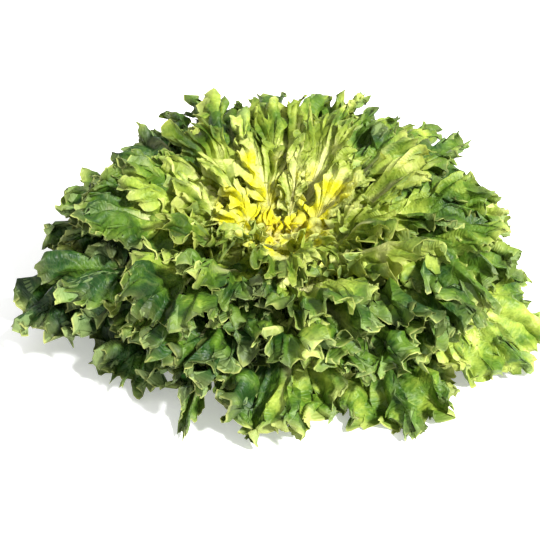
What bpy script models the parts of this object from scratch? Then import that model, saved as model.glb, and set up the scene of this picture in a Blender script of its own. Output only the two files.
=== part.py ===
"""A cut head of escarole: a short crown, separate leaves, and a heart of small leaves joined as one.

Metres, +Z up. The origin is the middle of the crown's cut face, which the head stands on.
Leaf number 0 is the lowest and outermost. Each later leaf starts higher on the crown, turns on by the
golden angle and starts steeper. A leaf is a thin closed solid round a net of points. The leaves are
laid over each other plain, then waved, and they are moved apart wherever they cross.
"""

import math
import random

import bmesh
import bpy
import numpy as np
from mathutils.bvhtree import BVHTree

SEED = 16
LEAF_COUNT = 50
GOLDEN_ANGLE = math.radians(137.508)
FIRST_AZIMUTH = math.radians(310)
CLEARANCE = 0.0003

# The crown's outline as (radius, height), from its cut face up.
CROWN_FOOT = (0.0165, 0.0)
CROWN_SHOULDER = (0.0195, 0.0045)
CROWN_NECK = (0.0085, 0.0345)
CROWN_TOP = 0.0370
CROWN_SIDES = 28

# How a leaf's form goes from the outermost leaf (first value) to the innermost (last value).
LENGTHS = (0.157, 0.174, 0.170, 0.125, 0.074)
WIDTHS = (0.124, 0.130, 0.118, 0.074, 0.032)
STALK_WIDTHS = (0.026, 0.025, 0.022, 0.017, 0.010)
START_ANGLES = (17, 41, 61, 65, 55)
BENDS = (46, 80, 87, 60, 30)
WAVES = (0.0125, 0.0150, 0.0150, 0.0120, 0.0060)
TEETH = (0.04, 0.05, 0.06, 0.10, 0.20)
RIB_THICKNESSES = (0.0024, 0.0021, 0.0018, 0.0015, 0.0011)
BLADE_THICKNESS = 0.0008

# How far one leaf may differ from the next, as shares of its own size or as metres and radians.
AZIMUTH_SCATTER = math.radians(4)
LENGTH_RANGE = (0.90, 1.06)
# How far the outer and middle leaves reach round the head, every 30 degrees from the +X axis.
REACH_ROUND = (1.02, 0.93, 0.99, 1.00, 1.00, 0.92, 1.00, 1.01, 0.91, 1.00, 1.00, 1.14)
WIDTH_RANGE = (0.88, 1.12)
WAVE_RANGE = (0.80, 1.15)
LEAN = 0.18
ROLL = 0.012
CUP_RANGE = (-0.007, 0.009)
NOD_RANGE = (-0.012, 0.008)
# Inner leaves towards this side lie lower by up to this many degrees, so the heart is open to that side.
OPENING = 26
OPEN_SIDE = math.radians(300)

# The nets that leaves are made on, as rows along the leaf and columns across it, and where each starts.
WIDE_NET = (9, 10)
MIDDLE_NET = (8, 6)
MIDDLE_FROM = 0.45
NARROW_NET = (7, 4)
NARROW_FROM = 0.78

# The tip's arc, its deepest tooth as a share of a row, and how many waves a column of the net can carry.
TIP_ARC = 0.17
TIP_NARROWING = 0.05
TIP_TOOTH = 0.45
WAVES_PER_COLUMN = (0.65, 0.82)
WAVE_LEAN = 0.38

# A sideways step turns round the head's axis by this much less near the axis, so stalks stay narrow there.
SOFT_RADIUS = 0.022

HEART_LEAVES = 8
HEART_NET = (5, 4)
HEART_CORE = ((0.0, 0.0375), (0.0062, 0.0375), (0.0066, 0.0420), (0.0038, 0.0500), (0.0, 0.0530))
HEART_SIDES = 12
HEART_BASE_RADIUS = 0.0050
HEART_BASE_HEIGHT = 0.0400

# Settling: each round moves a crossing by this step and flattens the waves there by this share.
SETTLE_STEP = 0.0006
FLATTEN = 0.06
MOST_ROUNDS = 90
# Leaves whose azimuths have a cosine below this face each other across the head's axis.
ACROSS = -0.2
# The least cosine between a triangle's normal and those of its corners, before it counts as a crease.
LEAST_FACING = 0.35

# The leaves up to these places in the row are outer and middle ones, and the rest are inner ones.
OUTER_UP_TO = 0.34
MIDDLE_UP_TO = 0.70

COLOURS = {
    "crown": ((0.78, 0.74, 0.55), 0.6),
    "heart": ((0.90, 0.78, 0.06), 0.45),
    "inner": ((0.55, 0.66, 0.08), 0.45),
    "middle": ((0.24, 0.44, 0.05), 0.45),
    "outer": ((0.07, 0.22, 0.03), 0.5),
}


def along(values, u):
    """The value at u, from 0 at the outermost leaf to 1 at the innermost."""
    return float(np.interp(u, np.linspace(0, 1, len(values)), values))


def smooth_step(x, low, high):
    t = np.clip((x - low) / (high - low), 0, 1)
    return t * t * (3 - 2 * t)


def make_material(name, colour, roughness):
    material = bpy.data.materials.new(name)
    material.use_nodes = True
    shader = material.node_tree.nodes["Principled BSDF"]
    shader.inputs["Base Color"].default_value = (*colour, 1)
    shader.inputs["Roughness"].default_value = roughness
    shader.inputs["Metallic"].default_value = 0
    return material


def add_object(name, points, faces, material):
    mesh = bpy.data.meshes.new(name)
    mesh.from_pydata([tuple(p) for p in points], [], [tuple(f) for f in faces])
    mesh.materials.append(material)
    mesh.shade_smooth()
    mesh.set_sharp_from_angle(angle=math.radians(50))
    made = bpy.data.objects.new(name, mesh)
    bpy.context.scene.collection.objects.link(made)
    return made


def turned(outline, sides):
    """A solid turned round the Z axis from an outline of (radius, height) that starts and ends on it."""
    inner = outline[1:-1]
    points = [(0, 0, outline[0][1])]
    for radius, height in inner:
        for k in range(sides):
            turn = math.tau * k / sides
            points.append((radius * math.cos(turn), radius * math.sin(turn), height))
    top = len(points)
    points.append((0, 0, outline[-1][1]))
    faces = []
    for k in range(sides):
        after = (k + 1) % sides
        faces.append((0, 1 + after, 1 + k))
        for ring in range(len(inner) - 1):
            low = 1 + ring * sides
            high = low + sides
            faces.append((low + k, low + after, high + after))
            faces.append((low + k, high + after, high + k))
        last = 1 + (len(inner) - 1) * sides
        faces.append((last + k, last + after, top))
    return points, faces


def leaf_plan(number, dice):
    """The sizes and turns of one leaf."""
    u = ((number + 0.35) / LEAF_COUNT) ** 0.95
    net = WIDE_NET if u < MIDDLE_FROM else MIDDLE_NET if u < NARROW_FROM else NARROW_NET
    azimuth = FIRST_AZIMUTH + number * GOLDEN_ANGLE + dice.uniform(-1, 1) * AZIMUTH_SCATTER
    return {
        "u": u,
        "azimuth": azimuth,
        "length": along(LENGTHS, u) * reach_round(azimuth, u) * dice.uniform(*LENGTH_RANGE),
        "width": along(WIDTHS, u) * dice.uniform(*WIDTH_RANGE),
        "stalk": along(STALK_WIDTHS, u),
        "wave": along(WAVES, u) * dice.uniform(*WAVE_RANGE),
        "wave_count": net[1] * dice.uniform(*WAVES_PER_COLUMN),
        "wave_phase": dice.uniform(0, math.tau),
        "lean": dice.uniform(-LEAN, LEAN),
        "roll": dice.uniform(-ROLL, ROLL) * (1 - 0.6 * u),
        "cup": dice.uniform(*CUP_RANGE) * (1 - 0.5 * u),
        "nod": dice.uniform(*NOD_RANGE) * (1 - 0.6 * u),
        "rib": along(RIB_THICKNESSES, u),
        "net": net,
        "teeth": ragged_edge(net, along(TEETH, u), dice),
    }


def reach_round(azimuth, u):
    """How much longer or shorter a leaf is for the side that it faces."""
    corners = np.linspace(0, math.tau, len(REACH_ROUND) + 1)
    reach = float(np.interp(azimuth % math.tau, corners, (*REACH_ROUND, REACH_ROUND[0])))
    return 1 + (reach - 1) * float(1 - smooth_step(u, 0.45, 0.80))


def lowering(plan):
    """How many degrees lower this leaf starts than others of its rank do."""
    return OPENING * max(0.0, math.cos(plan["azimuth"] - OPEN_SIDE)) * float(smooth_step(plan["u"], 0.45, 0.9))


def ragged_edge(net, depth, dice):
    """How far each outer point of the net stands out or in, as a share: (left side, right side, tip)."""
    rows, columns = net
    sides = [[dice.uniform(-depth, depth) * (i > 2) for i in range(rows + 1)] for _ in range(2)]
    deepest = min(depth, TIP_TOOTH / rows)
    tip = [deepest * ((j + 1) % 2 + dice.uniform(-0.5, 0.5)) for j in range(columns + 1)]
    return sides[0], sides[1], tip


def outline_half_width(plan, t):
    """Half the blade's width at t along it: a narrow stalk that widens into a fan."""
    widening = smooth_step(t, 0.10, 0.86)
    return 0.5 * (plan["stalk"] + (plan["width"] - plan["stalk"]) * widening)


def rib_curve(plan, steps=60):
    """(distance, radius, height, slope) along the leaf's rib, from the crown outwards."""
    u, length = plan["u"], 1.2 * plan["length"]
    start = np.array(CROWN_SHOULDER) + (np.array(CROWN_NECK) - CROWN_SHOULDER) * (0.04 + 0.92 * u)
    distance = np.linspace(0, length, steps)
    start_angle = along(START_ANGLES, u) - lowering(plan)
    slope = np.radians(start_angle - along(BENDS, u) * (distance / along(LENGTHS, u)) ** 1.5)
    step = distance[1]
    standoff = 0.0012 + 0.0012 * u
    radius = start[0] + standoff + np.concatenate([[0], np.cumsum(np.cos(slope[:-1]) * step)])
    height = start[1] + np.concatenate([[0], np.cumsum(np.sin(slope[:-1]) * step)])
    return distance, radius, height, slope


def net_places(plan):
    """Each net point's place, as shares along the leaf and across it."""
    rows, columns = plan["net"]
    return np.meshgrid(np.linspace(0, 1, rows + 1), np.linspace(-1, 1, columns + 1), indexing="ij")


def leaf_net(plan):
    """The leaf's plain middle surface as a net of points, what its waves add, and the way up from it."""
    t, v = net_places(plan)
    left, right, tip = plan["teeth"]
    toothed = v.copy()
    toothed[:, 0] *= 1 + np.array(left)
    toothed[:, -1] *= 1 + np.array(right)
    # The tip is an arc: points beside the rib stop short of the full length.
    reach = plan["length"] * t * (1 - TIP_ARC * v**2 * t**2)
    reach[-1] *= 1 + np.array(tip)
    side = outline_half_width(plan, t) * toothed * (1 - TIP_NARROWING * t**6)
    bend = plan["roll"] * v * t + plan["cup"] * v**2 * smooth_step(t, 0.15, 0.8) + plan["nod"] * t**3
    off, sideways, outwards = waves(plan, t, v, reach, side)
    plain, up = in_the_head(plan, t, reach, side, bend)
    waved, _up = in_the_head(plan, t, reach + outwards, side + sideways, bend + off)
    return plain, waved - plain, up


def in_the_head(plan, t, reach, side, off):
    """Points that lie reach along the leaf, side beside its rib and off its surface, and their way up."""
    distance, radius, height, slope = rib_curve(plan)
    r = np.interp(reach, distance, radius)
    z = np.interp(reach, distance, height)
    a = np.interp(reach, distance, slope)
    turn = plan["azimuth"] + plan["lean"] * t**2 + side / np.sqrt(r**2 + SOFT_RADIUS**2)
    up = np.stack([-np.sin(a) * np.cos(turn), -np.sin(a) * np.sin(turn), np.cos(a)], axis=-1)
    return np.stack([r * np.cos(turn), r * np.sin(turn), z], axis=-1) + up * off[..., None], up


def waves(plan, t, v, reach, side):
    """How far the waves move each point off the plain surface, sideways and outwards.

    They fan out from the stalk and grow towards the edge, where they also lean along it.
    """
    fan_start = 0.16 * plan["length"]
    bearing = np.arctan2(side, np.maximum(reach - fan_start, 0.004))
    widest = math.atan2(0.5 * plan["width"], 0.25 * plan["length"])
    phase = math.pi * plan["wave_count"] * bearing / widest + plan["wave_phase"]
    edge = np.maximum(np.abs(v) ** 1.8, smooth_step(t, 0.40, 1.0)) * smooth_step(t, 0.18, 0.55)
    lean = WAVE_LEAN * plan["wave"] * edge * np.cos(phase)
    return plan["wave"] * edge * np.sin(phase), lean * np.cos(bearing), -lean * np.sin(bearing)


def net_triangles(rows, columns):
    """The net's triangles, split along alternate diagonals."""
    found = []
    for i in range(rows):
        for j in range(columns):
            a = i * (columns + 1) + j
            b, c, d = a + 1, a + columns + 2, a + columns + 1
            if (i + j) % 2:
                found += [(a, b, c), (a, c, d)]
            else:
                found += [(a, b, d), (b, c, d)]
    return found


def rim_of(rows, columns):
    """The net's outer points in order, anticlockwise seen from the side that its triangles face."""
    wide = columns + 1
    bottom = list(range(columns + 1))
    right = [i * wide + columns for i in range(1, rows + 1)]
    top = [rows * wide + j for j in range(columns - 1, -1, -1)]
    left = [i * wide for i in range(rows - 1, 0, -1)]
    return bottom + right + top + left


def face_crosses(net, triangles):
    """For each triangle, a vector along its normal that is twice its area long."""
    corners = net.reshape(-1, 3)[triangles]
    return np.cross(corners[:, 1] - corners[:, 0], corners[:, 2] - corners[:, 0])


def net_normals(net, triangles):
    flat = face_crosses(net, triangles)
    normals = np.zeros_like(net.reshape(-1, 3))
    for k in range(3):
        np.add.at(normals, triangles[:, k], flat)
    return normals / np.linalg.norm(normals, axis=1)[:, None]


def creased(net, plan):
    """A net that is 1 where a triangle folds so far over that the leaf's two faces would cross."""
    triangles = np.array(net_triangles(*plan["net"]))
    flat = face_crosses(net, triangles)
    flat /= np.linalg.norm(flat, axis=1)[:, None]
    facing = np.einsum("fck,fk->fc", net_normals(net, triangles)[triangles], flat)
    flags = np.zeros(net.shape[0] * net.shape[1])
    flags[triangles[facing.min(axis=1) < LEAST_FACING].ravel()] = 1
    return flags.reshape(net.shape[:2])


def thicknesses(plan):
    """The leaf's thickness at each net point: a rib that fades towards the tip, and an even blade."""
    t, v = net_places(plan)
    rib = np.exp(-((v / 0.45) ** 2)) * (1 - smooth_step(t, 0.05, 0.85))
    stalk = 1 - smooth_step(t, 0.05, 0.3)
    return BLADE_THICKNESS + (plan["rib"] - BLADE_THICKNESS) * np.maximum(rib, 0.55 * stalk)


def blade(net, thickness, plan):
    """A closed solid of that thickness round the net, with the same triangles on both faces."""
    rows, columns = plan["net"]
    triangles = net_triangles(rows, columns)
    normals = net_normals(net, np.array(triangles))
    points = net.reshape(-1, 3)
    half = 0.5 * thickness.reshape(-1, 1)
    count = len(points)
    both = np.concatenate([points + normals * half, points - normals * half])
    faces = triangles + [(c + count, b + count, a + count) for a, b, c in triangles]
    rim = rim_of(rows, columns)
    for a, b in zip(rim, rim[1:] + rim[:1]):
        faces += [(a, a + count, b), (b, a + count, b + count)]
    return both, faces


def spread(bump):
    """Each point also takes most of its neighbours' bump, so that a lift is a soft swell."""
    wide = np.pad(bump, 1, mode="edge")
    beside = np.maximum.reduce([wide[:-2, 1:-1], wide[2:, 1:-1], wide[1:-1, :-2], wide[1:-1, 2:]])
    return np.maximum(bump, 0.6 * beside)


def new_leaf(plan, plain, ripple, up, bunch=None):
    """A leaf to settle: it starts with no lift and none of its waves. A bunch's leaves may cross."""
    t, _v = net_places(plan)
    return {
        "plan": plan,
        "plain": plain,
        "ripple": ripple,
        "up": up,
        "bunch": bunch,
        "lift": np.zeros(t.shape),
        "share": np.zeros(t.shape),
        "give": 0.03 + 0.97 * smooth_step(t, 0.0, 0.25),
        "thickness": thicknesses(plan),
    }


def placed_net(leaf):
    """The leaf's net with its waves and lift, kept above the ground that the head stands on."""
    net = leaf["plain"] + leaf["ripple"] * leaf["share"][..., None] + leaf["up"] * leaf["lift"][..., None]
    net[..., 2] = np.maximum(net[..., 2], 0.5 * leaf["thickness"])
    return net


def touched_points(leaf, faces, crossed):
    """A net that is 1 at the corners of the crossed faces, and less round them."""
    flags = np.zeros(leaf["lift"].size)
    for face in crossed:
        for corner in faces[face]:
            flags[corner % flags.size] = 1
    return spread(spread(flags.reshape(leaf["lift"].shape)))


def settle(leaves, core):
    """Moves crossing leaves apart, the lower one down and the higher one up, until none cross.

    Leaves that face each other across the axis both move down, which is away from it. Where leaves
    cross, or one is creased, its waves are also made a little flatter.
    """
    core_tree = BVHTree.FromPolygons(*core)
    for _round in range(MOST_ROUNDS):
        solids = [blade(placed_net(leaf), leaf["thickness"] + 2 * CLEARANCE, leaf["plan"]) for leaf in leaves]
        trees = [BVHTree.FromPolygons(points.tolist(), faces) for points, faces in solids]
        lows = np.array([points.min(axis=0) for points, _faces in solids])
        highs = np.array([points.max(axis=0) for points, _faces in solids])
        moves = [np.zeros(leaf["lift"].shape) for leaf in leaves]
        flatter = [creased(placed_net(leaf), leaf["plan"]) for leaf in leaves]
        crossings = sum(int(folds.sum()) for folds in flatter)
        for i, first in enumerate(leaves):
            near = np.all((lows[i] <= highs[i + 1:]) & (highs[i] >= lows[i + 1:]), axis=1)
            for j in i + 1 + np.nonzero(near)[0]:
                second = leaves[j]
                if first["bunch"] is not None and first["bunch"] == second["bunch"]:
                    continue
                pairs = trees[i].overlap(trees[j])
                if not pairs:
                    continue
                crossings += len(pairs)
                apart = math.cos(first["plan"]["azimuth"] - second["plan"]["azimuth"])
                rise = 1 if apart > ACROSS else -1
                lower = touched_points(first, solids[i][1], {a for a, _b in pairs})
                higher = touched_points(second, solids[j][1], {b for _a, b in pairs})
                moves[i] -= lower
                moves[j] += rise * higher
                flatter[i] = np.maximum(flatter[i], lower)
                flatter[j] = np.maximum(flatter[j], higher)
            if first["bunch"] is None:
                pairs = trees[i].overlap(core_tree)
                crossings += len(pairs)
                moves[i] -= 2 * touched_points(first, solids[i][1], {a for a, _b in pairs})
        if not crossings:
            break
        for leaf, move, flat in zip(leaves, moves, flatter):
            leaf["lift"] += SETTLE_STEP * np.clip(move, -2, 2) * leaf["give"]
            leaf["share"] *= 1 - FLATTEN * flat


def heart_plan(number, dice):
    """A leaf of the heart: small, upright, and free to cross its neighbours, which it is joined to."""
    step = number / HEART_LEAVES
    return {
        "u": 1.0,
        "azimuth": FIRST_AZIMUTH + (LEAF_COUNT + number) * GOLDEN_ANGLE,
        "length": 0.040 - 0.018 * step,
        "width": 0.025 - 0.010 * step,
        "stalk": 0.006,
        "wave": 0.0030,
        "wave_count": HEART_NET[1],
        "wave_phase": dice.uniform(0, math.tau),
        "lean": dice.uniform(-0.2, 0.2),
        "roll": 0.0,
        "cup": 0.002,
        "nod": dice.uniform(-0.006, 0.003),
        "rib": RIB_THICKNESSES[-1],
        "net": HEART_NET,
        "teeth": ragged_edge(HEART_NET, 0.12, dice),
    }


def heart_net(plan, step):
    """A heart leaf's net: the innermost leaf's form, moved inwards onto the heart's core."""
    net, ripple, up = leaf_net(plan)
    inwards = math.hypot(*net[0].mean(axis=0)[:2]) - (HEART_BASE_RADIUS - 0.0030 * step)
    net = net - inwards * np.array([math.cos(plan["azimuth"]), math.sin(plan["azimuth"]), 0])
    net[..., 2] += HEART_BASE_HEIGHT + 0.004 * step - net[0, :, 2].mean()
    return net, ripple, up


def settled_leaves(core):
    """Every leaf, the heart's last, in the place where it crosses no other."""
    dice = random.Random(SEED)
    leaves = []
    for number in range(LEAF_COUNT):
        plan = leaf_plan(number, dice)
        leaves.append(new_leaf(plan, *leaf_net(plan)))
    for number in range(HEART_LEAVES):
        plan = heart_plan(number, dice)
        leaves.append(new_leaf(plan, *heart_net(plan, number / HEART_LEAVES), bunch="heart"))
    settle(leaves, core)
    for leaf in leaves:
        leaf["share"] += 1
    settle(leaves, core)
    return leaves


def keep_largest_island(obj):
    """Drops the loose scraps and the inner skins of sealed hollows that a union leaves."""
    shape = bmesh.new()
    shape.from_mesh(obj.data)
    left = set(shape.faces)
    islands = []
    while left:
        island, edge = set(), [left.pop()]
        while edge:
            face = edge.pop()
            island.add(face)
            for side in face.edges:
                for other in side.link_faces:
                    if other in left:
                        left.remove(other)
                        edge.append(other)
        islands.append(island)
    islands.sort(key=len)
    for island in islands[:-1]:
        bmesh.ops.delete(shape, geom=list(island), context="FACES")
    shape.to_mesh(obj.data)
    shape.free()


def joined(name, core, others, material):
    """One solid: core and others in a Boolean union, with the other objects then removed."""
    base = add_object(name, *core, material)
    group = bpy.data.collections.new(name + "_leaves")
    bpy.context.scene.collection.children.link(group)
    for k, (points, faces) in enumerate(others):
        piece = add_object(f"{name}_piece_{k}", points, faces, material)
        bpy.context.scene.collection.objects.unlink(piece)
        group.objects.link(piece)
    union = base.modifiers.new("union", "BOOLEAN")
    union.operation = "UNION"
    union.operand_type = "COLLECTION"
    union.collection = group
    union.solver = "MANIFOLD"
    bpy.context.view_layer.update()
    graph = bpy.context.evaluated_depsgraph_get()
    fused = bpy.data.meshes.new_from_object(base.evaluated_get(graph))
    base.modifiers.clear()
    base.data = fused
    for piece in list(group.objects):
        bpy.data.objects.remove(piece)
    bpy.data.collections.remove(group)
    keep_largest_island(base)
    return base


def zone_of(u):
    """The name of the ring of leaves that the place u belongs to."""
    return "outer" if u < OUTER_UP_TO else "middle" if u < MIDDLE_UP_TO else "inner"


def main():
    for old in list(bpy.data.objects):
        bpy.data.objects.remove(old)
    materials = {name: make_material(name, *looks) for name, looks in COLOURS.items()}
    crown = turned([(0, CROWN_FOOT[1]), CROWN_FOOT, CROWN_SHOULDER, CROWN_NECK, (0, CROWN_TOP)], CROWN_SIDES)
    add_object("crown", *crown, materials["crown"])
    core = turned(HEART_CORE, HEART_SIDES)
    leaves = settled_leaves(core)
    solids = [blade(placed_net(leaf), leaf["thickness"], leaf["plan"]) for leaf in leaves]
    for number, solid in enumerate(solids[:LEAF_COUNT]):
        zone = zone_of(leaves[number]["plan"]["u"])
        add_object(f"leaf_{number + 1:02d}_{zone}", *solid, materials[zone])
    joined("heart", core, solids[LEAF_COUNT:], materials["heart"])


main()
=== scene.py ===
"""A cut head of escarole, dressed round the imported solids: ruffled, toothed and veined leaves.

Metres, +Z up. The leaves' rough nets are made as the part's source makes them, with the same draws in
the same order. Each net is then drawn again as a smooth sheet with ruffles, teeth, a rib and a thin edge.
"""

import math
import random

import bpy
import numpy as np
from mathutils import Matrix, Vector
from mathutils.bvhtree import BVHTree


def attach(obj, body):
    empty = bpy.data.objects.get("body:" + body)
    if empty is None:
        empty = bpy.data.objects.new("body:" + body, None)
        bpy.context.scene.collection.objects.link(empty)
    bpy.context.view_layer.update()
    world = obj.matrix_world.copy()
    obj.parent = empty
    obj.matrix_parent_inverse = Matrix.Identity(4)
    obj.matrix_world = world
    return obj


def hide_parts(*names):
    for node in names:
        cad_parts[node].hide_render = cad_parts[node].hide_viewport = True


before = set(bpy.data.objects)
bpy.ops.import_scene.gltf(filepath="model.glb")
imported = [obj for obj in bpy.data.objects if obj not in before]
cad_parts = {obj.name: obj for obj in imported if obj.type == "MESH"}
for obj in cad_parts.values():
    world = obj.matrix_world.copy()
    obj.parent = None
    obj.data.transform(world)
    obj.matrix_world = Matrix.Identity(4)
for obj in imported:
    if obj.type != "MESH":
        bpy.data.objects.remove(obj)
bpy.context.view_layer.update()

SEED = 16
LEAF_COUNT = 50
GOLDEN_ANGLE = math.radians(137.508)
FIRST_AZIMUTH = math.radians(310)
CLEARANCE = 0.0003

# The crown's outline as (radius, height), from its cut face up.
CROWN_FOOT = (0.0165, 0.0)
CROWN_SHOULDER = (0.0195, 0.0045)
CROWN_NECK = (0.0085, 0.0345)
CROWN_TOP = 0.0370

# How a leaf's form goes from the outermost leaf (first value) to the innermost (last value).
LENGTHS = (0.157, 0.174, 0.170, 0.125, 0.074)
WIDTHS = (0.124, 0.130, 0.118, 0.074, 0.032)
STALK_WIDTHS = (0.026, 0.025, 0.022, 0.017, 0.010)
START_ANGLES = (17, 41, 61, 65, 55)
BENDS = (46, 80, 87, 60, 30)
WAVES = (0.0125, 0.0150, 0.0150, 0.0120, 0.0060)
TEETH = (0.04, 0.05, 0.06, 0.10, 0.20)
RIB_THICKNESSES = (0.0024, 0.0021, 0.0018, 0.0015, 0.0011)
BLADE_THICKNESS = 0.0008

# How far one leaf may differ from the next, as shares of its own size or as metres and radians.
AZIMUTH_SCATTER = math.radians(4)
LENGTH_RANGE = (0.90, 1.06)
# How far the outer and middle leaves reach round the head, every 30 degrees from the +X axis.
REACH_ROUND = (1.02, 0.93, 0.99, 1.00, 1.00, 0.92, 1.00, 1.01, 0.91, 1.00, 1.00, 1.14)
WIDTH_RANGE = (0.88, 1.12)
WAVE_RANGE = (0.80, 1.15)
LEAN = 0.18
ROLL = 0.012
CUP_RANGE = (-0.007, 0.009)
NOD_RANGE = (-0.012, 0.008)
# Inner leaves towards this side lie lower by up to this many degrees, so the heart is open to that side.
OPENING = 26
OPEN_SIDE = math.radians(300)

# The nets that leaves are made on, as rows along the leaf and columns across it, and where each starts.
WIDE_NET = (9, 10)
MIDDLE_NET = (8, 6)
MIDDLE_FROM = 0.45
NARROW_NET = (7, 4)
NARROW_FROM = 0.78

# The tip's arc, its deepest tooth as a share of a row, and how many waves a column of the net can carry.
TIP_ARC = 0.17
TIP_NARROWING = 0.05
TIP_TOOTH = 0.45
WAVES_PER_COLUMN = (0.65, 0.82)
WAVE_LEAN = 0.38

# A sideways step turns round the head's axis by this much less near the axis, so stalks stay narrow there.
SOFT_RADIUS = 0.022

HEART_LEAVES = 8
HEART_NET = (5, 4)
HEART_CORE = ((0.0, 0.0375), (0.0062, 0.0375), (0.0066, 0.0420), (0.0038, 0.0500), (0.0, 0.0530))
HEART_SIDES = 12
HEART_BASE_RADIUS = 0.0050
HEART_BASE_HEIGHT = 0.0400

# Settling: each round moves a crossing by this step and flattens the waves there by this share.
SETTLE_STEP = 0.0006
FLATTEN = 0.06
MOST_ROUNDS = 90
# Leaves whose azimuths have a cosine below this face each other across the head's axis.
ACROSS = -0.2
# The least cosine between a triangle's normal and those of its corners, before it counts as a crease.
LEAST_FACING = 0.35


def along(values, u):
    """The value at u, from 0 at the outermost leaf to 1 at the innermost."""
    return float(np.interp(u, np.linspace(0, 1, len(values)), values))


def smooth_step(x, low, high):
    t = np.clip((x - low) / (high - low), 0, 1)
    return t * t * (3 - 2 * t)


def turned(outline, sides):
    """A solid turned round the Z axis from an outline of (radius, height) that starts and ends on it."""
    inner = outline[1:-1]
    points = [(0, 0, outline[0][1])]
    for radius, height in inner:
        for k in range(sides):
            turn = math.tau * k / sides
            points.append((radius * math.cos(turn), radius * math.sin(turn), height))
    top = len(points)
    points.append((0, 0, outline[-1][1]))
    faces = []
    for k in range(sides):
        after = (k + 1) % sides
        faces.append((0, 1 + after, 1 + k))
        for ring in range(len(inner) - 1):
            low = 1 + ring * sides
            high = low + sides
            faces.append((low + k, low + after, high + after))
            faces.append((low + k, high + after, high + k))
        last = 1 + (len(inner) - 1) * sides
        faces.append((last + k, last + after, top))
    return points, faces


def leaf_plan(number, dice):
    """The sizes and turns of one leaf."""
    u = ((number + 0.35) / LEAF_COUNT) ** 0.95
    net = WIDE_NET if u < MIDDLE_FROM else MIDDLE_NET if u < NARROW_FROM else NARROW_NET
    azimuth = FIRST_AZIMUTH + number * GOLDEN_ANGLE + dice.uniform(-1, 1) * AZIMUTH_SCATTER
    return {
        "u": u,
        "azimuth": azimuth,
        "length": along(LENGTHS, u) * reach_round(azimuth, u) * dice.uniform(*LENGTH_RANGE),
        "width": along(WIDTHS, u) * dice.uniform(*WIDTH_RANGE),
        "stalk": along(STALK_WIDTHS, u),
        "wave": along(WAVES, u) * dice.uniform(*WAVE_RANGE),
        "wave_count": net[1] * dice.uniform(*WAVES_PER_COLUMN),
        "wave_phase": dice.uniform(0, math.tau),
        "lean": dice.uniform(-LEAN, LEAN),
        "roll": dice.uniform(-ROLL, ROLL) * (1 - 0.6 * u),
        "cup": dice.uniform(*CUP_RANGE) * (1 - 0.5 * u),
        "nod": dice.uniform(*NOD_RANGE) * (1 - 0.6 * u),
        "rib": along(RIB_THICKNESSES, u),
        "net": net,
        "teeth": ragged_edge(net, along(TEETH, u), dice),
    }


def reach_round(azimuth, u):
    """How much longer or shorter a leaf is for the side that it faces."""
    corners = np.linspace(0, math.tau, len(REACH_ROUND) + 1)
    reach = float(np.interp(azimuth % math.tau, corners, (*REACH_ROUND, REACH_ROUND[0])))
    return 1 + (reach - 1) * float(1 - smooth_step(u, 0.45, 0.80))


def lowering(plan):
    """How many degrees lower this leaf starts than others of its rank do."""
    facing = max(0.0, math.cos(plan["azimuth"] - OPEN_SIDE))
    return OPENING * facing * float(smooth_step(plan["u"], 0.45, 0.9))


def ragged_edge(net, depth, dice):
    """How far each outer point of the net stands out or in, as a share: (left side, right side, tip)."""
    rows, columns = net
    sides = [[dice.uniform(-depth, depth) * (i > 2) for i in range(rows + 1)] for _ in range(2)]
    deepest = min(depth, TIP_TOOTH / rows)
    tip = [deepest * ((j + 1) % 2 + dice.uniform(-0.5, 0.5)) for j in range(columns + 1)]
    return sides[0], sides[1], tip


def outline_half_width(plan, t):
    """Half the blade's width at t along it: a narrow stalk that widens into a fan."""
    widening = smooth_step(t, 0.10, 0.86)
    return 0.5 * (plan["stalk"] + (plan["width"] - plan["stalk"]) * widening)


def rib_curve(plan, steps=60):
    """(distance, radius, height, slope) along the leaf's rib, from the crown outwards."""
    u, length = plan["u"], 1.2 * plan["length"]
    start = np.array(CROWN_SHOULDER) + (np.array(CROWN_NECK) - CROWN_SHOULDER) * (0.04 + 0.92 * u)
    distance = np.linspace(0, length, steps)
    start_angle = along(START_ANGLES, u) - lowering(plan)
    slope = np.radians(start_angle - along(BENDS, u) * (distance / along(LENGTHS, u)) ** 1.5)
    step = distance[1]
    standoff = 0.0012 + 0.0012 * u
    radius = start[0] + standoff + np.concatenate([[0], np.cumsum(np.cos(slope[:-1]) * step)])
    height = start[1] + np.concatenate([[0], np.cumsum(np.sin(slope[:-1]) * step)])
    return distance, radius, height, slope


def net_places(plan):
    """Each net point's place, as shares along the leaf and across it."""
    rows, columns = plan["net"]
    return np.meshgrid(np.linspace(0, 1, rows + 1), np.linspace(-1, 1, columns + 1), indexing="ij")


def leaf_net(plan):
    """The leaf's plain middle surface as a net of points, what its waves add, and the way up from it."""
    t, v = net_places(plan)
    left, right, tip = plan["teeth"]
    toothed = v.copy()
    toothed[:, 0] *= 1 + np.array(left)
    toothed[:, -1] *= 1 + np.array(right)
    # The tip is an arc: points beside the rib stop short of the full length.
    reach = plan["length"] * t * (1 - TIP_ARC * v**2 * t**2)
    reach[-1] *= 1 + np.array(tip)
    side = outline_half_width(plan, t) * toothed * (1 - TIP_NARROWING * t**6)
    bend = plan["roll"] * v * t + plan["cup"] * v**2 * smooth_step(t, 0.15, 0.8) + plan["nod"] * t**3
    off, sideways, outwards = waves(plan, t, v, reach, side)
    plain, up = in_the_head(plan, t, reach, side, bend)
    waved, _up = in_the_head(plan, t, reach + outwards, side + sideways, bend + off)
    return plain, waved - plain, up


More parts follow.
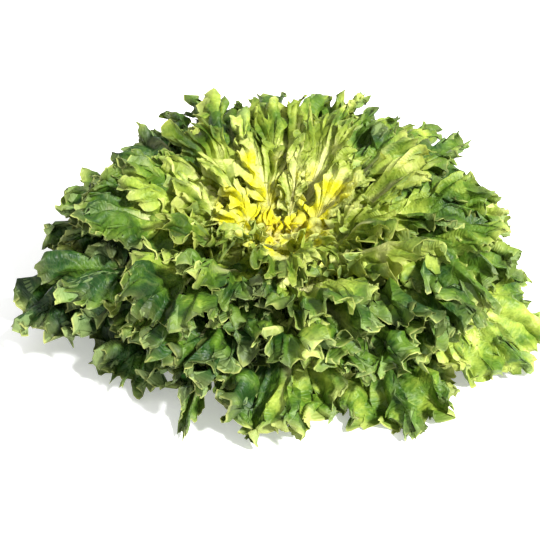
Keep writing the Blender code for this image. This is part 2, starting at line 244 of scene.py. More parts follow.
def in_the_head(plan, t, reach, side, off):
    """Points that lie reach along the leaf, side beside its rib and off its surface, and their way up."""
    distance, radius, height, slope = rib_curve(plan)
    r = np.interp(reach, distance, radius)
    z = np.interp(reach, distance, height)
    a = np.interp(reach, distance, slope)
    turn = plan["azimuth"] + plan["lean"] * t**2 + side / np.sqrt(r**2 + SOFT_RADIUS**2)
    up = np.stack([-np.sin(a) * np.cos(turn), -np.sin(a) * np.sin(turn), np.cos(a)], axis=-1)
    return np.stack([r * np.cos(turn), r * np.sin(turn), z], axis=-1) + up * off[..., None], up


def waves(plan, t, v, reach, side):
    """How far the waves move each point off the plain surface, sideways and outwards.

    They fan out from the stalk and grow towards the edge, where they also lean along it.
    """
    fan_start = 0.16 * plan["length"]
    bearing = np.arctan2(side, np.maximum(reach - fan_start, 0.004))
    widest = math.atan2(0.5 * plan["width"], 0.25 * plan["length"])
    phase = math.pi * plan["wave_count"] * bearing / widest + plan["wave_phase"]
    edge = np.maximum(np.abs(v) ** 1.8, smooth_step(t, 0.40, 1.0)) * smooth_step(t, 0.18, 0.55)
    lean = WAVE_LEAN * plan["wave"] * edge * np.cos(phase)
    return plan["wave"] * edge * np.sin(phase), lean * np.cos(bearing), -lean * np.sin(bearing)


def net_triangles(rows, columns):
    """The net's triangles, split along alternate diagonals."""
    found = []
    for i in range(rows):
        for j in range(columns):
            a = i * (columns + 1) + j
            b, c, d = a + 1, a + columns + 2, a + columns + 1
            if (i + j) % 2:
                found += [(a, b, c), (a, c, d)]
            else:
                found += [(a, b, d), (b, c, d)]
    return found


def rim_of(rows, columns):
    """The net's outer points in order, anticlockwise seen from the side that its triangles face."""
    wide = columns + 1
    bottom = list(range(columns + 1))
    right = [i * wide + columns for i in range(1, rows + 1)]
    top = [rows * wide + j for j in range(columns - 1, -1, -1)]
    left = [i * wide for i in range(rows - 1, 0, -1)]
    return bottom + right + top + left


def face_crosses(net, triangles):
    """For each triangle, a vector along its normal that is twice its area long."""
    corners = net.reshape(-1, 3)[triangles]
    return np.cross(corners[:, 1] - corners[:, 0], corners[:, 2] - corners[:, 0])


def net_normals(net, triangles):
    flat = face_crosses(net, triangles)
    normals = np.zeros_like(net.reshape(-1, 3))
    for k in range(3):
        np.add.at(normals, triangles[:, k], flat)
    return normals / np.linalg.norm(normals, axis=1)[:, None]


def creased(net, plan):
    """A net that is 1 where a triangle folds so far over that the leaf's two faces would cross."""
    triangles = np.array(net_triangles(*plan["net"]))
    flat = face_crosses(net, triangles)
    flat /= np.linalg.norm(flat, axis=1)[:, None]
    facing = np.einsum("fck,fk->fc", net_normals(net, triangles)[triangles], flat)
    flags = np.zeros(net.shape[0] * net.shape[1])
    flags[triangles[facing.min(axis=1) < LEAST_FACING].ravel()] = 1
    return flags.reshape(net.shape[:2])


def thicknesses(plan):
    """The leaf's thickness at each net point: a rib that fades towards the tip, and an even blade."""
    t, v = net_places(plan)
    rib = np.exp(-((v / 0.45) ** 2)) * (1 - smooth_step(t, 0.05, 0.85))
    stalk = 1 - smooth_step(t, 0.05, 0.3)
    return BLADE_THICKNESS + (plan["rib"] - BLADE_THICKNESS) * np.maximum(rib, 0.55 * stalk)


def blade(net, thickness, plan):
    """A closed solid of that thickness round the net, with the same triangles on both faces."""
    rows, columns = plan["net"]
    triangles = net_triangles(rows, columns)
    normals = net_normals(net, np.array(triangles))
    points = net.reshape(-1, 3)
    half = 0.5 * thickness.reshape(-1, 1)
    count = len(points)
    both = np.concatenate([points + normals * half, points - normals * half])
    faces = triangles + [(c + count, b + count, a + count) for a, b, c in triangles]
    rim = rim_of(rows, columns)
    for a, b in zip(rim, rim[1:] + rim[:1]):
        faces += [(a, a + count, b), (b, a + count, b + count)]
    return both, faces


def spread(bump):
    """Each point also takes most of its neighbours' bump, so that a lift is a soft swell."""
    wide = np.pad(bump, 1, mode="edge")
    beside = np.maximum.reduce([wide[:-2, 1:-1], wide[2:, 1:-1], wide[1:-1, :-2], wide[1:-1, 2:]])
    return np.maximum(bump, 0.6 * beside)


def new_leaf(plan, plain, ripple, up, bunch=None):
    """A leaf to settle: it starts with no lift and none of its waves. A bunch's leaves may cross."""
    t, _v = net_places(plan)
    return {
        "plan": plan,
        "plain": plain,
        "ripple": ripple,
        "up": up,
        "bunch": bunch,
        "lift": np.zeros(t.shape),
        "share": np.zeros(t.shape),
        "give": 0.03 + 0.97 * smooth_step(t, 0.0, 0.25),
        "thickness": thicknesses(plan),
    }


def placed_net(leaf):
    """The leaf's net with its waves and lift, kept above the ground that the head stands on."""
    net = leaf["plain"] + leaf["ripple"] * leaf["share"][..., None] + leaf["up"] * leaf["lift"][..., None]
    net[..., 2] = np.maximum(net[..., 2], 0.5 * leaf["thickness"])
    return net


def touched_points(leaf, faces, crossed):
    """A net that is 1 at the corners of the crossed faces, and less round them."""
    flags = np.zeros(leaf["lift"].size)
    for face in crossed:
        for corner in faces[face]:
            flags[corner % flags.size] = 1
    return spread(spread(flags.reshape(leaf["lift"].shape)))


def settle(leaves, core):
    """Moves crossing leaves apart, the lower one down and the higher one up, until none cross.

    Leaves that face each other across the axis both move down, which is away from it. Where leaves
    cross, or one is creased, its waves are also made a little flatter.
    """
    core_tree = BVHTree.FromPolygons(*core)
    for _round in range(MOST_ROUNDS):
        solids = [blade(placed_net(leaf), leaf["thickness"] + 2 * CLEARANCE, leaf["plan"]) for leaf in leaves]
        trees = [BVHTree.FromPolygons(points.tolist(), faces) for points, faces in solids]
        lows = np.array([points.min(axis=0) for points, _faces in solids])
        highs = np.array([points.max(axis=0) for points, _faces in solids])
        moves = [np.zeros(leaf["lift"].shape) for leaf in leaves]
        flatter = [creased(placed_net(leaf), leaf["plan"]) for leaf in leaves]
        crossings = sum(int(folds.sum()) for folds in flatter)
        for i, first in enumerate(leaves):
            near = np.all((lows[i] <= highs[i + 1:]) & (highs[i] >= lows[i + 1:]), axis=1)
            for j in i + 1 + np.nonzero(near)[0]:
                second = leaves[j]
                if first["bunch"] is not None and first["bunch"] == second["bunch"]:
                    continue
                pairs = trees[i].overlap(trees[j])
                if not pairs:
                    continue
                crossings += len(pairs)
                apart = math.cos(first["plan"]["azimuth"] - second["plan"]["azimuth"])
                rise = 1 if apart > ACROSS else -1
                lower = touched_points(first, solids[i][1], {a for a, _b in pairs})
                higher = touched_points(second, solids[j][1], {b for _a, b in pairs})
                moves[i] -= lower
                moves[j] += rise * higher
                flatter[i] = np.maximum(flatter[i], lower)
                flatter[j] = np.maximum(flatter[j], higher)
            if first["bunch"] is None:
                pairs = trees[i].overlap(core_tree)
                crossings += len(pairs)
                moves[i] -= 2 * touched_points(first, solids[i][1], {a for a, _b in pairs})
        if not crossings:
            break
        for leaf, move, flat in zip(leaves, moves, flatter):
            leaf["lift"] += SETTLE_STEP * np.clip(move, -2, 2) * leaf["give"]
            leaf["share"] *= 1 - FLATTEN * flat


def heart_plan(number, dice):
    """A leaf of the heart: small, upright, and free to cross its neighbours, which it is joined to."""
    step = number / HEART_LEAVES
    return {
        "u": 1.0,
        "azimuth": FIRST_AZIMUTH + (LEAF_COUNT + number) * GOLDEN_ANGLE,
        "length": 0.040 - 0.018 * step,
        "width": 0.025 - 0.010 * step,
        "stalk": 0.006,
        "wave": 0.0030,
        "wave_count": HEART_NET[1],
        "wave_phase": dice.uniform(0, math.tau),
        "lean": dice.uniform(-0.2, 0.2),
        "roll": 0.0,
        "cup": 0.002,
        "nod": dice.uniform(-0.006, 0.003),
        "rib": RIB_THICKNESSES[-1],
        "net": HEART_NET,
        "teeth": ragged_edge(HEART_NET, 0.12, dice),
    }


def heart_net(plan, step):
    """A heart leaf's net: the innermost leaf's form, moved inwards onto the heart's core."""
    net, ripple, up = leaf_net(plan)
    inwards = math.hypot(*net[0].mean(axis=0)[:2]) - (HEART_BASE_RADIUS - 0.0030 * step)
    net = net - inwards * np.array([math.cos(plan["azimuth"]), math.sin(plan["azimuth"]), 0])
    net[..., 2] += HEART_BASE_HEIGHT + 0.004 * step - net[0, :, 2].mean()
    return net, ripple, up


def settled_leaves(core):
    """Every leaf, the heart's last, in the place where it crosses no other."""
    dice = random.Random(SEED)
    leaves = []
    for number in range(LEAF_COUNT):
        plan = leaf_plan(number, dice)
        leaves.append(new_leaf(plan, *leaf_net(plan)))
    for number in range(HEART_LEAVES):
        plan = heart_plan(number, dice)
        leaves.append(new_leaf(plan, *heart_net(plan, number / HEART_LEAVES), bunch="heart"))
    settle(leaves, core)
    for leaf in leaves:
        leaf["share"] += 1
    settle(leaves, core)
    return leaves


# Everything from here on makes the fine leaves, which replace the rough ones.

# A fine leaf is drawn on rays that leave this place on its rib and end on its margin.
RAY_CENTRE = 0.34
# How square the outline's far corners are: 2 would make the outline an ellipse.
CORNER_POWER = 3.2
# Rays of a leaf in each net, how many rings have each 4th, each 2nd and every ray, from the middle out,
# and how much closer the rings lie near the margin.
RAYS = {WIDE_NET: 420, MIDDLE_NET: 360, NARROW_NET: 280, HEART_NET: 180}
STRIDES = (4,) * 5 + (2,) * 4 + (1,) * 4
RING_CROWDING = 1.5
# Rays are this share as close on the stalk as on the blade, up to this place along the leaf.
STALK_WEIGHT = 0.35
STALK_END = 0.3
MARGIN_SAMPLES = 240

# Fine forms have their full size on a leaf of this width, and follow the width within this range.
FULL_WIDTH = 0.12
SIZE_RANGE = (0.5, 1.1)
# The share of its full measure that each fine form would keep on a leaf of no size.
KEPT = {"cut_spacing": 0.5, "reach": 0.5, "spacing": 0.6, "ruffle": 0.45}
# Cuts that pull the margin in: their depth as a share of a ray, outermost leaf and innermost, and spacing.
CUT_DEPTHS = (0.05, 0.18)
CUT_SPACING = 0.014
# Where in the row of leaves the cuts deepen, and where along a leaf they set in.
CUTS_DEEPEN = (0.55, 0.95)
CUTS_SET_IN = (0.20, 0.55)
# Teeth and lobes push the margin out: how far, how wide apart, and how far from the margin they fade.
TOOTH_REACH, TOOTH_SPACING, TOOTH_FADE = 0.0032, 0.0038, 0.003
LOBE_REACH, LOBE_SPACING, LOBE_FADE = 0.0042, 0.0085, 0.007
# The share of a lobe's reach that stays inside the margin, so that the leaf keeps its length.
LOBE_MIDDLE = 0.60
# A tooth's highest place as a share of its width, how hollow its sides are, and its least size.
TOOTH_PEAK = 0.62
TOOTH_HOLLOW = 1.2
LEAST_TOOTH = 0.25
# How far teeth stray from an even spacing, in tooth widths, and the wavelength of that in teeth.
TOOTH_STRAY = 0.3
STRAY_TEETH = 5

# The ruffles: wavelength along the margin, height, and how far from the margin they fade.
RUFFLES = ((0.0240, 0.0085, 0.034), (0.0120, 0.0046, 0.015), (0.0065, 0.0017, 0.0065))
# The share of its height by which a ruffle leans over along the margin.
OVERHANG = 0.42
# How far a ruffle's lines wander, in radians, along the margin and from the margin inwards.
DRIFTS = (1.6, 1.2)
# The wavelengths of the drift and of the strength along the margin, in ruffles, and of the drift inwards.
DRIFT_RUFFLES, STRENGTH_RUFFLES = 3.3, 2.3
INNER_DRIFT = 0.03
# The share of a ruffle's height that is the same all along the margin, and how fast it fades inwards.
STEADY = 0.65
FADE_POWER = 1.4
# Where along the leaf the plain stalk gives way to the blade's fine forms.
BLADE_SETS_IN = (0.16, 0.50)
# How much larger a fine leaf's waves are than the rough leaf's, and a filling leaf's share of them.
WAVE_GAIN = 1.45
FILL_WAVES = 0.7
# The crumples: height, and the shortest and the longest of their wavelengths.
CRUMPLES = ((0.0036, 0.020, 0.045), (0.0004, 0.008, 0.014))
CRUMPLE_WAVES = 7
# How far a ruffle looks for the next leaf.
ROOM_SOUGHT = 0.012
# Below the first height leaves bend ever flatter, and none goes below the second.
SOFT_FLOOR = 0.006
LEAST_HEIGHT = 0.0002

# Side veins: their spacing along the rib, their slant, and the height of the ripple that they make.
VEIN_SPACING = 0.011
VEIN_SLANT = 0.8
VEIN_RIPPLE = 0.0002
# Where the ripple sets in, as shares of the way from the rib to the margin.
RIPPLE_SETS_IN = (0.08, 0.35)
# The rib's width at the base and what is left of it near the tip, and where along the leaf it fades.
RIB_WIDTHS = (0.0066, 0.0018)
RIB_NARROWS_UNTIL = 0.75
RIB_FADE = (0.50, 1.0)
# The shares of the rough rib's thickness that stand out above the blade and below it.
RIB_ABOVE, RIB_BELOW = 0.25, 0.85
RIB_ABOVE_FADE = (0.05, 0.35)
# Half the blade's thickness on its margin and further in, and how wide the thin part is.
HALF_THICKNESSES = (0.00015, 0.00037)
THIN_MARGIN = 0.006
# What is left of the thickness where the floor flattens a leaf, in halves.
FLATTENED = 1.5

# Leaves between the rough ones: the first one's place in the row, how many are drawn, and their size.
EXTRA_FROM = 5.5
EXTRA_COUNT = 31
EXTRA_LENGTH = 0.89
EXTRA_WIDTH = 0.72
# The head has dark gaps between these azimuths, in degrees from +X: no leaf further in than this place
# in the row fills them.
GAPS = ((210, 255), (288, 306))
GAPS_FROM = 0.38
# One narrow leaf with flatter ruffles lies low at the left of the front, and its tip shows past the rest.
LOW_LEAF = {
    "azimuth": math.radians(243),
    "length": 0.151,
    "width": 0.019,
    "stalk": 0.012,
    "wave": 0.003,
    "lean": 0.10,
    "roll": 0.003,
    "cup": 0.002,
    "nod": -0.001,
    "ruffled": 0.30,
}
# Each leaf has its own draws: leaves count up from the first seed, and filling leaves from the second.
FINE_SEED = 7
FILL_SEED = 1007


def catmull(f):
    """The weights of four neighbouring points for a smooth curve at share f between the middle two."""
    doubled = [-f + 2 * f**2 - f**3, 2 - 5 * f**2 + 3 * f**3, f + 4 * f**2 - 3 * f**3, f**3 - f**2]
    return np.stack(doubled, -1) / 2


def surface(net):
    """A function that gives the smooth surface through the net at shares along and across it."""
    rows, columns = net.shape[0] - 1, net.shape[1] - 1
    wide = np.concatenate([2 * net[:1] - net[1:2], net, 2 * net[-1:] - net[-2:-1]])
    wide = np.concatenate([2 * wide[:, :1] - wide[:, 1:2], wide, 2 * wide[:, -1:] - wide[:, -2:-1]], axis=1)

    def at(t, v):
        x = np.clip(t, 0, 1) * rows
        y = (np.clip(v, -1, 1) + 1) / 2 * columns
        i = np.minimum(x.astype(int), rows - 1)
        j = np.minimum(y.astype(int), columns - 1)
        by_row, by_column = catmull(x - i), catmull(y - j)
        total = 0
        for a in range(4):
            for b in range(4):
                total = total + (by_row[..., a] * by_column[..., b])[..., None] * wide[i + a, j + b]
        return total

    return at


def kept(form, size):
    """How large that fine form is on a leaf of that size, as a share of its full measure."""
    return KEPT[form] + (1 - KEPT[form]) * size


def between(values, share):
    """The value at that share of the way from the first of two values to the second."""
    return values[0] + (values[1] - values[0]) * share


def unit(vectors):
    return vectors / np.maximum(np.linalg.norm(vectors, axis=-1, keepdims=True), 1e-9)


def wander(dice, wavelength):
    """A smooth irregular function of a length, from about -1 to 1."""
    parts = [(wavelength * scale, dice.uniform(0, math.tau)) for scale in (1.0, 0.618, 1.71)]
    return lambda s: sum(np.sin(math.tau * s / w + p) for w, p in parts) / 1.9


def margin_places(at, columns):
    """Places on the leaf's rounded outline, evenly spaced round the blade and wider apart on the stalk.

    It gives their shares along and across the leaf and their distances along the outline.
    """
    steps = np.linspace(0, 1, MARGIN_SAMPLES, endpoint=False)
    t = np.concatenate([steps, np.ones(MARGIN_SAMPLES), 1 - steps, np.zeros(MARGIN_SAMPLES)])
    v = np.concatenate([-np.ones(MARGIN_SAMPLES), 2 * steps - 1, np.ones(MARGIN_SAMPLES), 1 - 2 * steps])
    upwards = np.maximum((t - RAY_CENTRE) / (1 - RAY_CENTRE), 0)
    scale = np.maximum(upwards**CORNER_POWER + np.abs(v) ** CORNER_POWER, 1e-9) ** (-1 / CORNER_POWER)
    scale = np.where(upwards > 0, scale, 1)
    t, v = RAY_CENTRE + (t - RAY_CENTRE) * scale, v * scale
    points = at(t, v)
    lengths = np.linalg.norm(np.roll(points, -1, axis=0) - points, axis=1)
    true = np.concatenate([[0], np.cumsum(lengths)])
    weighted = np.concatenate([[0], np.cumsum(lengths * np.where(t < STALK_END, STALK_WEIGHT, 1))])
    places = np.linspace(0, weighted[-1], columns, endpoint=False)
    around = np.concatenate([t, t[:1]]), np.concatenate([v, v[:1]])
    return (*(np.interp(places, weighted, values) for values in around), np.interp(places, weighted, true))


def teeth(s, spacing, dice):
    """How far teeth stand out at distances s along the margin, from 0 to 1, each of its own size."""
    x = s / spacing + TOOTH_STRAY * wander(dice, STRAY_TEETH * spacing)(s)
    number = np.floor(x).astype(int)
    share = x - number
    sizes = np.array([dice.uniform(LEAST_TOOTH, 1.0) for _ in range(number.max() - number.min() + 1)])
    rise = np.where(share < TOOTH_PEAK, share / TOOTH_PEAK, (1 - share) / (1 - TOOTH_PEAK))
    return sizes[number - number.min()] * rise**TOOTH_HOLLOW


def crumples(plan, t, v, shortest, longest, dice):
    """Irregular waves over the whole blade, from about -1 to 1."""
    along_leaf, across = plan["length"] * t, outline_half_width(plan, t) * v
    total = 0
    for _ in range(CRUMPLE_WAVES):
        number = math.tau / dice.uniform(shortest, longest)
        bearing = dice.uniform(0, math.tau)
        distance = along_leaf * math.cos(bearing) + across * math.sin(bearing)
        total = total + np.sin(number * distance + dice.uniform(0, math.tau))
    return total / 3


def ruffles(s, to_margin, size, dice):
    """How far the ruffles move each point off the sheet, and along its margin."""
    off, slide = np.zeros(to_margin.shape), np.zeros(to_margin.shape)
    for wavelength, height, fade in RUFFLES:
        wavelength, height, fade = (kept("ruffle", size) * value for value in (wavelength, height, fade))
        drift = wander(dice, DRIFT_RUFFLES * wavelength)
        strength = wander(dice, STRENGTH_RUFFLES * wavelength)
        inner_drift = wander(dice, INNER_DRIFT)
        phase = math.tau * s / wavelength + DRIFTS[0] * drift(s)
        phase = phase[:, None] + DRIFTS[1] * inner_drift(to_margin)
        tall = height * (STEADY + (1 - STEADY) * strength(s))
        tall = tall[:, None] * np.exp(-((to_margin / fade) ** FADE_POWER))
        off += tall * np.sin(phase)
        slide += OVERHANG * tall * np.sin(2 * phase)
    return off, slide


def growth(s, to_margin, size, dice):
    """How far the teeth and the lobes push each point outwards."""
    reach, spacing = kept("reach", size), kept("spacing", size)
    small = TOOTH_REACH * reach * teeth(s, TOOTH_SPACING * spacing, dice)[:, None]
    large = LOBE_REACH * reach * (teeth(s, LOBE_SPACING * spacing, dice)[:, None] - LOBE_MIDDLE)
    return small * np.exp(-to_margin / TOOTH_FADE) + large * np.exp(-to_margin / LOBE_FADE)


def room_above(tree, points, directions, most):
    """How far each point can go in its direction before it meets another leaf, up to most."""
    found = np.full(len(points), most)
    for k, (point, direction) in enumerate(zip(points.tolist(), directions.tolist())):
        _place, _normal, _face, distance = tree.ray_cast(Vector(point), Vector(direction), most)
        if distance is not None:
            found[k] = distance
    return found


def calm(values):
    """The values made smoother round and along the rays, after each takes its neighbours' lowest."""
    around = np.minimum.reduce([values, np.roll(values, 1, axis=0), np.roll(values, -1, axis=0)])
    for _ in range(3):
        around = (np.roll(around, 1, axis=0) + 2 * around + np.roll(around, -1, axis=0)) / 4
        wide = np.pad(around, ((0, 0), (1, 1)), mode="edge")
        around = (wide[:, :-2] + 2 * around + wide[:, 2:]) / 4
    return around


def held_back(off, points, normals, tree):
    """The moves off the sheet, cut where they would go through the next leaf."""
    flat_points, flat_normals = points.reshape(-1, 3), normals.reshape(-1, 3)
    for sign in (1, -1):
        room = calm(room_above(tree, flat_points, sign * flat_normals, ROOM_SOUGHT).reshape(off.shape))
        off = np.where(sign * off > room, sign * room, off)
    return off


def bent_above_floor(heights):
    """The heights, with those near the floor squeezed so that none is below it."""
    sinking = np.minimum(heights, SOFT_FLOOR) - SOFT_FLOOR
    return np.maximum(heights, SOFT_FLOOR * np.exp(sinking / SOFT_FLOOR))


def cut_rays(plan, s, edge_t, size, dice):
    """The rings' places on each ray as shares of it, with the margin's cuts: deeper on inner leaves."""
    depth = between(CUT_DEPTHS, smooth_step(plan["u"], *CUTS_DEEPEN))
    whole = 0.5 - 0.5 * np.cos(math.pi * teeth(s, CUT_SPACING * kept("cut_spacing", size), dice))
    cut = depth * (1 - whole) * smooth_step(edge_t, *CUTS_SET_IN)
    rings = len(STRIDES)
    rho = 1 - (1 - np.arange(1, rings + 1) / rings) ** RING_CROWDING
    return rho[None, :] * (1 - cut[:, None])


def fine_leaf(leaf, dice, tree):
    """A smooth, ruffled and toothed sheet for one leaf: its points, faces and what its material reads."""
    plan = leaf["plan"]
    at = surface(placed_net({**leaf, "share": WAVE_GAIN * leaf["share"]}))
    columns = RAYS[plan["net"]]
    size = min(max(plan["width"] / FULL_WIDTH, SIZE_RANGE[0]), SIZE_RANGE[1])
    edge_t, edge_v, s = margin_places(at, columns)
    rays = cut_rays(plan, s, edge_t, size, dice)
    t = RAY_CENTRE + rays * (edge_t - RAY_CENTRE)[:, None]
    v = rays * edge_v[:, None]
    points = at(t, v)
    side = outline_half_width(plan, t) * v

    small = 0.01
    along_t = at(t + small, v) - at(t - small, v)
    along_v = at(t, v + small) - at(t, v - small)
    normals = unit(np.cross(along_t, along_v))
    outwards = unit(along_t * (edge_t - RAY_CENTRE)[:, None, None] + along_v * edge_v[:, None, None])
    sideways = np.cross(normals, outwards)
    steps = np.linalg.norm(np.diff(points, axis=1), axis=-1)
    to_margin = np.concatenate([np.cumsum(steps[:, ::-1], axis=1)[:, ::-1], np.zeros((columns, 1))], axis=1)

    off, slide = ruffles(s, to_margin, size, dice)
    vein_phase = math.tau * (plan["length"] * t - VEIN_SLANT * np.abs(side)) / VEIN_SPACING
    off += VEIN_RIPPLE * np.cos(vein_phase) * smooth_step(np.abs(v), *RIPPLE_SETS_IN)
    for height, shortest, longest in CRUMPLES:
        off += height * size * crumples(plan, t, v, shortest, longest, dice)
    blade_share = smooth_step(t, *BLADE_SETS_IN)
    off *= blade_share * plan.get("ruffled", 1)
    slide *= blade_share * plan.get("ruffled", 1)
    if tree:
        off = held_back(off, points, normals, tree)
    stretch = growth(s, to_margin, size, dice) * blade_share
    points = points + normals * off[..., None] + sideways * slide[..., None] + outwards * stretch[..., None]
    points[..., 2] = bent_above_floor(points[..., 2])

    # The rib stands out below; the blade thins towards its margin.
    rib_width = between(RIB_WIDTHS, smooth_step(t, 0.0, RIB_NARROWS_UNTIL))
    rib = np.exp(-((side / rib_width) ** 2)) * (1 - smooth_step(t, *RIB_FADE))
    half = between(HALF_THICKNESSES, smooth_step(to_margin, 0, THIN_MARGIN))
    above = half + RIB_ABOVE * plan["rib"] * (1 - smooth_step(t, *RIB_ABOVE_FADE))
    below = half + RIB_BELOW * plan["rib"] * rib
    upper = points + normals * above[..., None]
    lower = points - normals * below[..., None]
    lower[..., 2] = np.maximum(lower[..., 2], LEAST_HEIGHT)
    upper[..., 2] = np.maximum(upper[..., 2], LEAST_HEIGHT + FLATTENED * half)

    centre = at(np.array([RAY_CENTRE]), np.array([0.0]))[0]
    centre_normal = unit(normals[:, 0].mean(axis=0))
    high, low = centre_normal * above[:, 0].mean(), centre_normal * below[:, 0].mean()
    upper = used(upper)
    return {
        "points": np.concatenate([upper, used(lower), [centre + high, centre - low]]),
        "faces": sheet_faces(columns),
        "first_ring": columns // STRIDES[0],
        "upper": upper,
        "place": used(np.stack([plan["length"] * t, side, to_margin], axis=-1)),
        "rib": used(rib),
        "t": used(t),
        "length": plan["length"],
    }


def used(values):
    """The values by ray and ring, as one list of those that the sheet has points for."""
    return np.concatenate([values[::stride, ring] for ring, stride in enumerate(STRIDES)])


def sheet_faces(columns):
    """The faces of a closed sheet drawn on rays: its upper side, its lower side and the rim between."""
    sizes = [columns // stride for stride in STRIDES]
    count = sum(sizes)
    top, bottom = 2 * count, 2 * count + 1
    upper, first = [], 0
    for size, next_size in zip(sizes, sizes[1:]):
        outside = first + size
        for c in range(size):
            a, b = first + c, first + (c + 1) % size
            if next_size == size:
                upper.append((a, outside + c, outside + (c + 1) % size, b))
                continue
            p, q, r = (outside + (2 * c + step) % next_size for step in range(3))
            upper += [(a, p, q), (a, q, b), (b, q, r)]
        first = outside
    lower = [tuple(count + corner for corner in reversed(face)) for face in upper]
    rim, fans = [], []
    for c in range(columns):
        a, b = first + c, first + (c + 1) % columns
        rim.append((b, a, count + a, count + b))
    for c in range(sizes[0]):
        d = (c + 1) % sizes[0]
        fans += [(top, c, d), (bottom, count + d, count + c)]
    return upper + lower + rim + fans


SLOTS = {
    "outer": "leaf_dark_green",
    "middle": "leaf_green",
    "inner": "leaf_yellow_green",
    "heart": "heart_yellow",
}
# Where along the row of leaves, from 0 outermost to 1 innermost, the outer and the middle ones end.
OUTER_UP_TO = 0.34
MIDDLE_UP_TO = 0.70
# Edges between faces that turn by more than this are drawn sharp.
SHARP_FROM = math.radians(75)

# Each kind of leaf's roughness, the share of the light that goes into the leaf, and how that light looks.
LEAF_LOOKS = {
    "outer": (0.50, 0.16, (0.50, 0.66, 0.04, 1)),
    "middle": (0.50, 0.22, (0.60, 0.72, 0.04, 1)),
    "inner": (0.52, 0.45, (0.92, 0.92, 0.20, 1)),
    "heart": (0.55, 0.60, (1.00, 0.90, 0.06, 1)),
}
# The colours of a leaf, from the greenest to the yellowest.
GREENS = (
    (0.00, (0.005, 0.026, 0.004)),
    (0.20, (0.013, 0.056, 0.006)),
    (0.42, (0.088, 0.180, 0.011)),
    (0.62, (0.360, 0.460, 0.055)),
    (0.78, (0.740, 0.780, 0.270)),
    (0.95, (0.950, 0.890, 0.018)),
)
# How much yellower the innermost leaves are, and how much more their bases are.
RIPE_BY_RANK, RIPE_AT_BASE = 0.10, 0.20
# How yellow leaves are at radii from the head's axis.
RIPE_BY_RADIUS = ((0.0, 1.05), (0.016, 1.00), (0.024, 0.75), (0.042, 0.63), (0.060, 0.53), (0.080, 0.43),
                  (0.115, 0.29), (0.18, 0.27))
# Painted light: leaves are made yellower and paler towards the head's right edge, the side the sun comes
# from; how much, and how far that edge is.
PAINTED_LIGHT_BY_SIDE = 0.125
SIDE_REACH = 0.17
# How much yellower or greener one leaf is than the next, from the outermost leaf to the innermost.
TINTS = (0.05, 0.09, 0.12, 0.09)
# Noises that mottle a leaf: scale, detail, and how much of the row of colours each covers.
MOTTLES = {
    "patches": (22.0, 2.0, 0.80),
    "broad": (45.0, 3.0, 0.55),
    "spots": (130.0, 3.0, 0.34),
    "fine": (420.0, 4.0, 0.22),
}
VEIN_COLOUR = (0.55, 0.62, 0.20, 1)
UNDERSIDE = (0.28, 0.40, 0.14, 1)
MARGIN = (0.56, 0.58, 0.17, 1)
CREAM = (0.86, 0.84, 0.40, 1)
# How far each of them covers the leaf's own colour.
COVERS = {"small_vein": 0.06, "vein": 0.12, "rib": 0.92, "under": 0.42, "rim": 0.55}
# Side veins: how far they wander, how wide they are as shares of their spacing, and where they end.
VEIN_WANDER = 0.012
VEIN_BAND = (0.02, 0.13)
VEIN_END = (0.002, 0.015)
# The net of small veins: its scale, and how wide its veins and the blisters' sides between them are.
NET_SCALE = 330.0
SMALL_VEIN_BAND = (0.01, 0.12)
BLISTER_BAND = (0.0, 0.35)
# The paler margin: how wide it is, how far it covers the leaf and how much further in patches, and those.
MARGIN_BAND = (0.0, 0.010)
MARGIN_COVERS = (0.12, 0.45)
MARGIN_PATCHES = (0.50, 0.68)
# The palest rim: how wide it is, and its patches.
RIM_BAND = (0.0002, 0.0011)
RIM_PATCHES = (0.35, 0.60)
# The fine relief: how high each part of it is next to the others, how strong it is, and its depth.
RELIEF = {"blister": 0.5, "vein": -0.35, "fine": 0.7, "spots": 1.6}
RELIEF_STRENGTH, RELIEF_DEPTH = 0.55, 0.0010
# The reflectance, how much duller the lower side is, and how much of the roughness is mottled.
SPECULAR = 0.32
UNDER_DULLER, MOTTLED_ROUGHNESS = 0.12, 0.2
# How far the colour of the light that comes through is that of the leaf's inside.
INNER_SHARE = 0.55
# What a leaf's material reads at each point, besides its place on the leaf.
LEAF_NUMBERS = ("ripe_with_painted_light", "rib", "under")

STEM_OUTLINE = ((0, 0), (0.0158, 0), CROWN_FOOT, (0.0181, 0.0018), CROWN_SHOULDER, (0.0172, 0.0105),
                (0.0128, 0.0222), CROWN_NECK, (0, CROWN_TOP))
STEM_SIDES = 96
# The flesh's two colours, and the brown that stains it up to this height above the cut face.
FLESH = ((0.62, 0.58, 0.36, 1), (0.84, 0.82, 0.62, 1))
BROWN = (0.36, 0.20, 0.08, 1)
BROWN_UP_TO = 0.006

SKY = 0.88
SUN = 7.3
SUN_SIZE = math.radians(7)
SUN_TRAVEL = (-0.74, 0.78, -1.05)
FLOOR_GLOW = 0.30
FLOOR_HALF = 15.0
CAMERA_TARGET = (-0.0056, 0, 0.028)
CAMERA_ELEVATION = math.radians(35)
CAMERA_DISTANCE = 0.97
CAMERA_LENS = 90


def grapher(material):
    """A function that adds a node to the material, from its type, its inputs by place and its settings."""
    material.use_nodes = True
    tree = material.node_tree
    tree.nodes.clear()

    def add(kind, inputs, **settings):
        node = tree.nodes.new("ShaderNode" + kind)
        for name, value in settings.items():
            setattr(node, name, value)
        for place, value in inputs.items():
            if isinstance(value, bpy.types.NodeSocket):
                tree.links.new(value, node.inputs[place])
            else:
                node.inputs[place].default_value = value
        return node

    return add


def calculate(add, operation, *values):
    return add("Math", dict(enumerate(values)), operation=operation).outputs[0]


def band(add, value, low, high):
    """A soft step from 0 at low to 1 at high."""
    return add("MapRange", {0: value, 1: low, 2: high}, interpolation_type="SMOOTHSTEP").outputs[0]


def opposite(add, value):
    return calculate(add, "SUBTRACT", 1.0, value)


def blend_colours(add, share, first, second):
    return add("Mix", {0: share, 6: first, 7: second}, data_type="RGBA").outputs[2]


